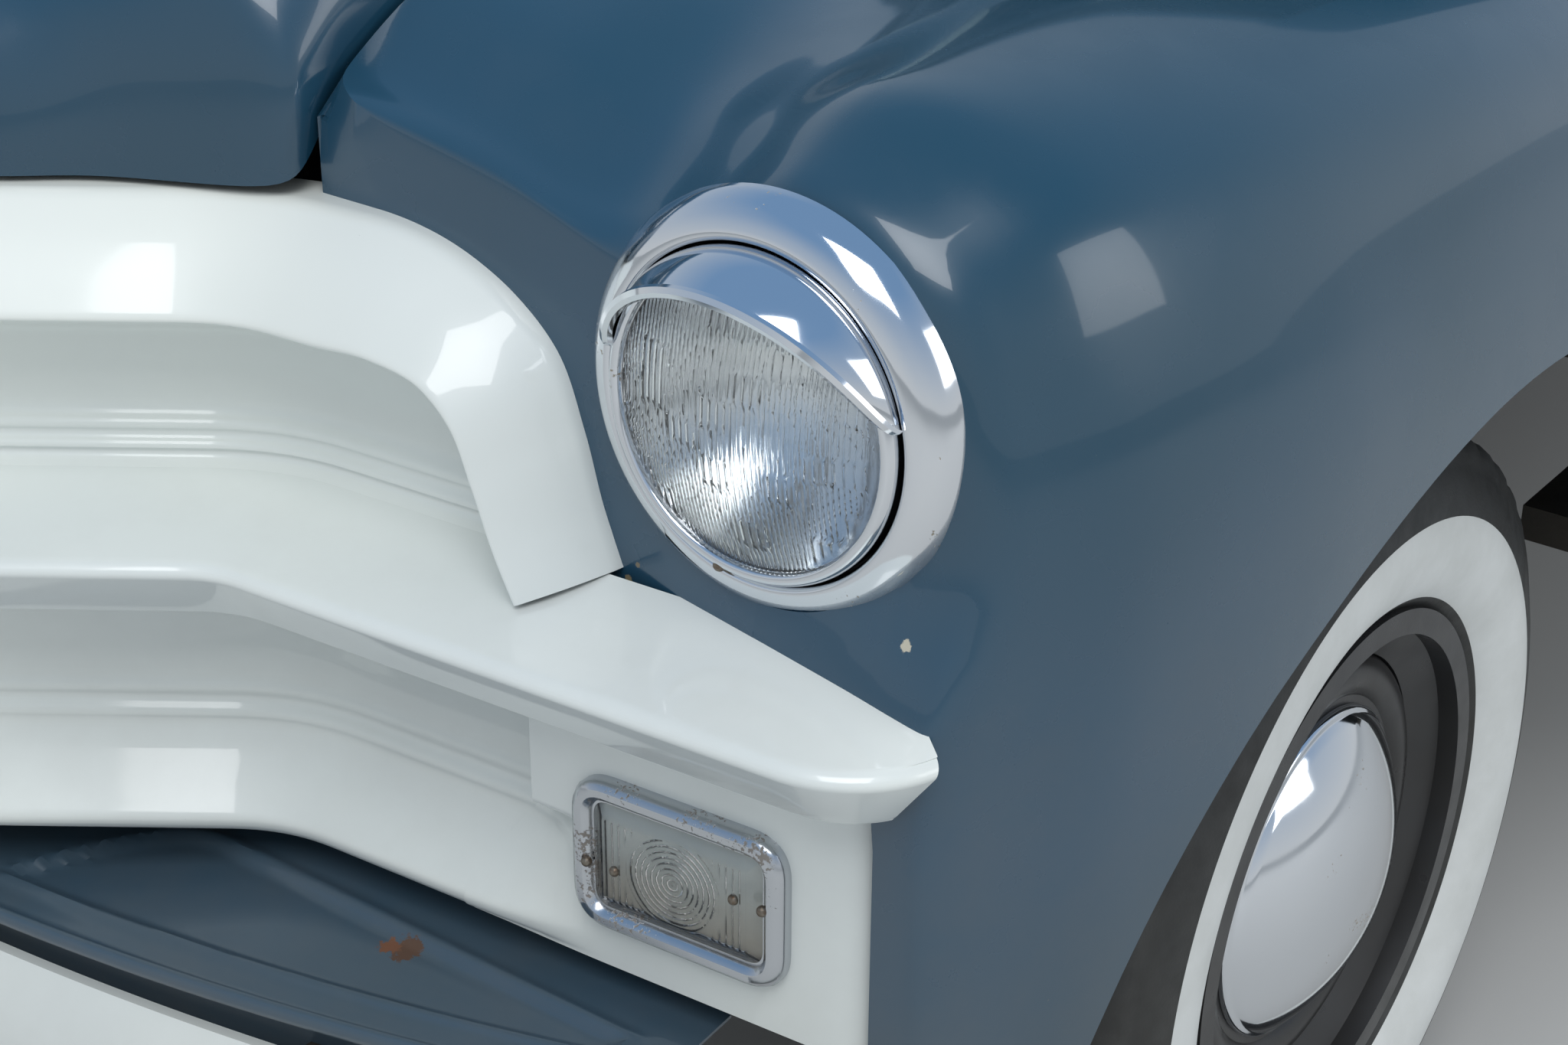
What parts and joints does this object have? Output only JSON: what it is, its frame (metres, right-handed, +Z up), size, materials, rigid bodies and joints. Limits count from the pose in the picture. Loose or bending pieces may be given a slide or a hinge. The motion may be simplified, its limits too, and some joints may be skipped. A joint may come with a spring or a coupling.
{
  "type": "classic pickup truck",
  "caption": "Classic step-side pickup truck with round cab, separate fenders, arched bull-nose grille, opening doors, hood and tailgate, steered and rolling wheels.",
  "frame": {"origin": "on the ground under the middle of the overall length, on the centre plane", "axes": "+X to the truck's left side, +Y from the nose to the tail, +Z up; it stands on its tyres"},
  "size_m": [1.8952, 4.8458, 1.806],
  "materials": {
    "body_paint": "gloss slate blue enamel",
    "grille_paint": "gloss off-white enamel, chipped",
    "wheel_paint": "dark enamel, brake dust",
    "frame_paint": "satin black, road dirt",
    "chrome": "polished with pitting",
    "iron": "rough casting, oily",
    "engine_paint": "satin grey, oily",
    "steel": "dull with surface rust",
    "tyre": "matte with a wide white sidewall",
    "glass": "clear",
    "lamp_glass": "clear, fluted",
    "lamp_lens": "clear, ribbed",
    "red_lens": "red lens in a dark shell",
    "wood": "satin varnish, worn",
    "seat": "satin, pleated",
    "trim_dark": "hard black rim"
  },
  "bodies": {
    "chassis": {"frame_rails": "frame_paint", "frame_crossmembers": "frame_paint", "front_axle": "iron", "leaf_springs": "frame_paint", "rear_axle": "iron", "engine": "engine_paint", "exhaust": "steel", "radiator": "frame_paint", "radiator_support": "frame_paint", "inner_fenders": "frame_paint", "cab_shell": "body_paint", "cab_glass": "glass", "seat_cushions": "seat", "seat_riser": "frame_paint", "dashboard": "body_paint", "steering_column": "frame_paint", "front_fenders": "body_paint", "grille_arch": "grille_paint", "grille_bars": "grille_paint", "grille_baffles": "grille_paint", "headlamp_buckets": "frame_paint", "headlamp_bezels": "chrome", "headlamp_lenses": "lamp_glass", "headlamp_visors": "chrome", "parking_lamp_bezels": "chrome", "parking_lamp_lenses": "lamp_lens", "front_apron": "body_paint", "front_bumper": "grille_paint", "rear_bumper": "grille_paint", "bumper_brackets": "frame_paint", "bed_sides": "body_paint", "bed_floor": "wood", "bed_sills": "frame_paint", "rear_fenders": "body_paint", "running_boards": "frame_paint", "tail_lamps": "red_lens"},
    "hood": {"hood": "body_paint"},
    "door_left": {"door_left": "body_paint", "door_glass_left": "glass"},
    "door_right": {"door_right": "body_paint", "door_glass_right": "glass"},
    "tailgate": {"tailgate": "body_paint"},
    "knuckle_left": {"knuckle_left": "iron"},
    "knuckle_right": {"knuckle_right": "iron"},
    "tie_rod": {"tie_rod": "iron"},
    "steering_wheel": {"steering_wheel": "trim_dark"},
    "wheel_front_left": {"wheel_front_left": "wheel_paint", "tyre_front_left": "tyre", "hub_cap_front_left": "chrome"},
    "wheel_front_right": {"wheel_front_right": "wheel_paint", "tyre_front_right": "tyre", "hub_cap_front_right": "chrome"},
    "wheel_rear_left": {"wheel_rear_left": "wheel_paint", "tyre_rear_left": "tyre", "hub_cap_rear_left": "chrome"},
    "wheel_rear_right": {"wheel_rear_right": "wheel_paint", "tyre_rear_right": "tyre", "hub_cap_rear_right": "chrome"}
  },
  "joints": [
    {"name": "steer_left", "type": "hinge", "parent": "chassis", "child": "knuckle_left", "pos_m": [0.59, -1.583, 0.355], "axis": [0, 0, 1], "range_deg": [-28, 28]},
    {"name": "steer_right", "type": "hinge", "parent": "chassis", "child": "knuckle_right", "pos_m": [-0.59, -1.583, 0.355], "axis": [0, 0, 1], "range_deg": [-28, 28]},
    {"name": "tie_rod_slide", "type": "slide", "parent": "chassis", "child": "tie_rod", "axis": [1, 0, 0], "range_m": [-0.07, 0.07]},
    {"name": "steering_turn", "type": "hinge", "parent": "chassis", "child": "steering_wheel", "pos_m": [0.345, -0.498, 1.16], "axis": [0, 0.7442, 0.668], "range_deg": [-450, 450]},
    {"name": "door_left_hinge", "type": "hinge", "parent": "chassis", "child": "door_left", "pos_m": [0.843, -0.785, 1.05], "axis": [0, 0, -1], "range_deg": [0, 65]},
    {"name": "door_right_hinge", "type": "hinge", "parent": "chassis", "child": "door_right", "pos_m": [-0.843, -0.785, 1.05], "axis": [0, 0, 1], "range_deg": [0, 65]},
    {"name": "hood_hinge", "type": "hinge", "parent": "chassis", "child": "hood", "pos_m": [0, -1.023, 1.299], "axis": [-1, 0, 0], "range_deg": [0, 50]},
    {"name": "tailgate_hinge", "type": "hinge", "parent": "chassis", "child": "tailgate", "pos_m": [0, 2.304, 0.702], "axis": [-1, 0, 0], "range_deg": [0, 90]},
    {"name": "wheel_front_left_roll", "type": "hinge", "parent": "knuckle_left", "child": "wheel_front_left", "pos_m": [0.704, -1.583, 0.355], "axis": [1, 0, 0], "continuous": true},
    {"name": "wheel_front_right_roll", "type": "hinge", "parent": "knuckle_right", "child": "wheel_front_right", "pos_m": [-0.704, -1.583, 0.355], "axis": [1, 0, 0], "continuous": true},
    {"name": "wheel_rear_left_roll", "type": "hinge", "parent": "chassis", "child": "wheel_rear_left", "pos_m": [0.77, 1.363, 0.355], "axis": [1, 0, 0], "continuous": true},
    {"name": "wheel_rear_right_roll", "type": "hinge", "parent": "chassis", "child": "wheel_rear_right", "pos_m": [-0.77, 1.363, 0.355], "axis": [1, 0, 0], "continuous": true}
  ],
  "couplings": [
    {"joint": "steer_right", "follows": "steer_left", "ratio": 1},
    {"joint": "tie_rod_slide", "follows": "steer_left", "m_per_rad": -0.14},
    {"joint": "steering_turn", "follows": "steer_left", "ratio": 16}
  ]
}
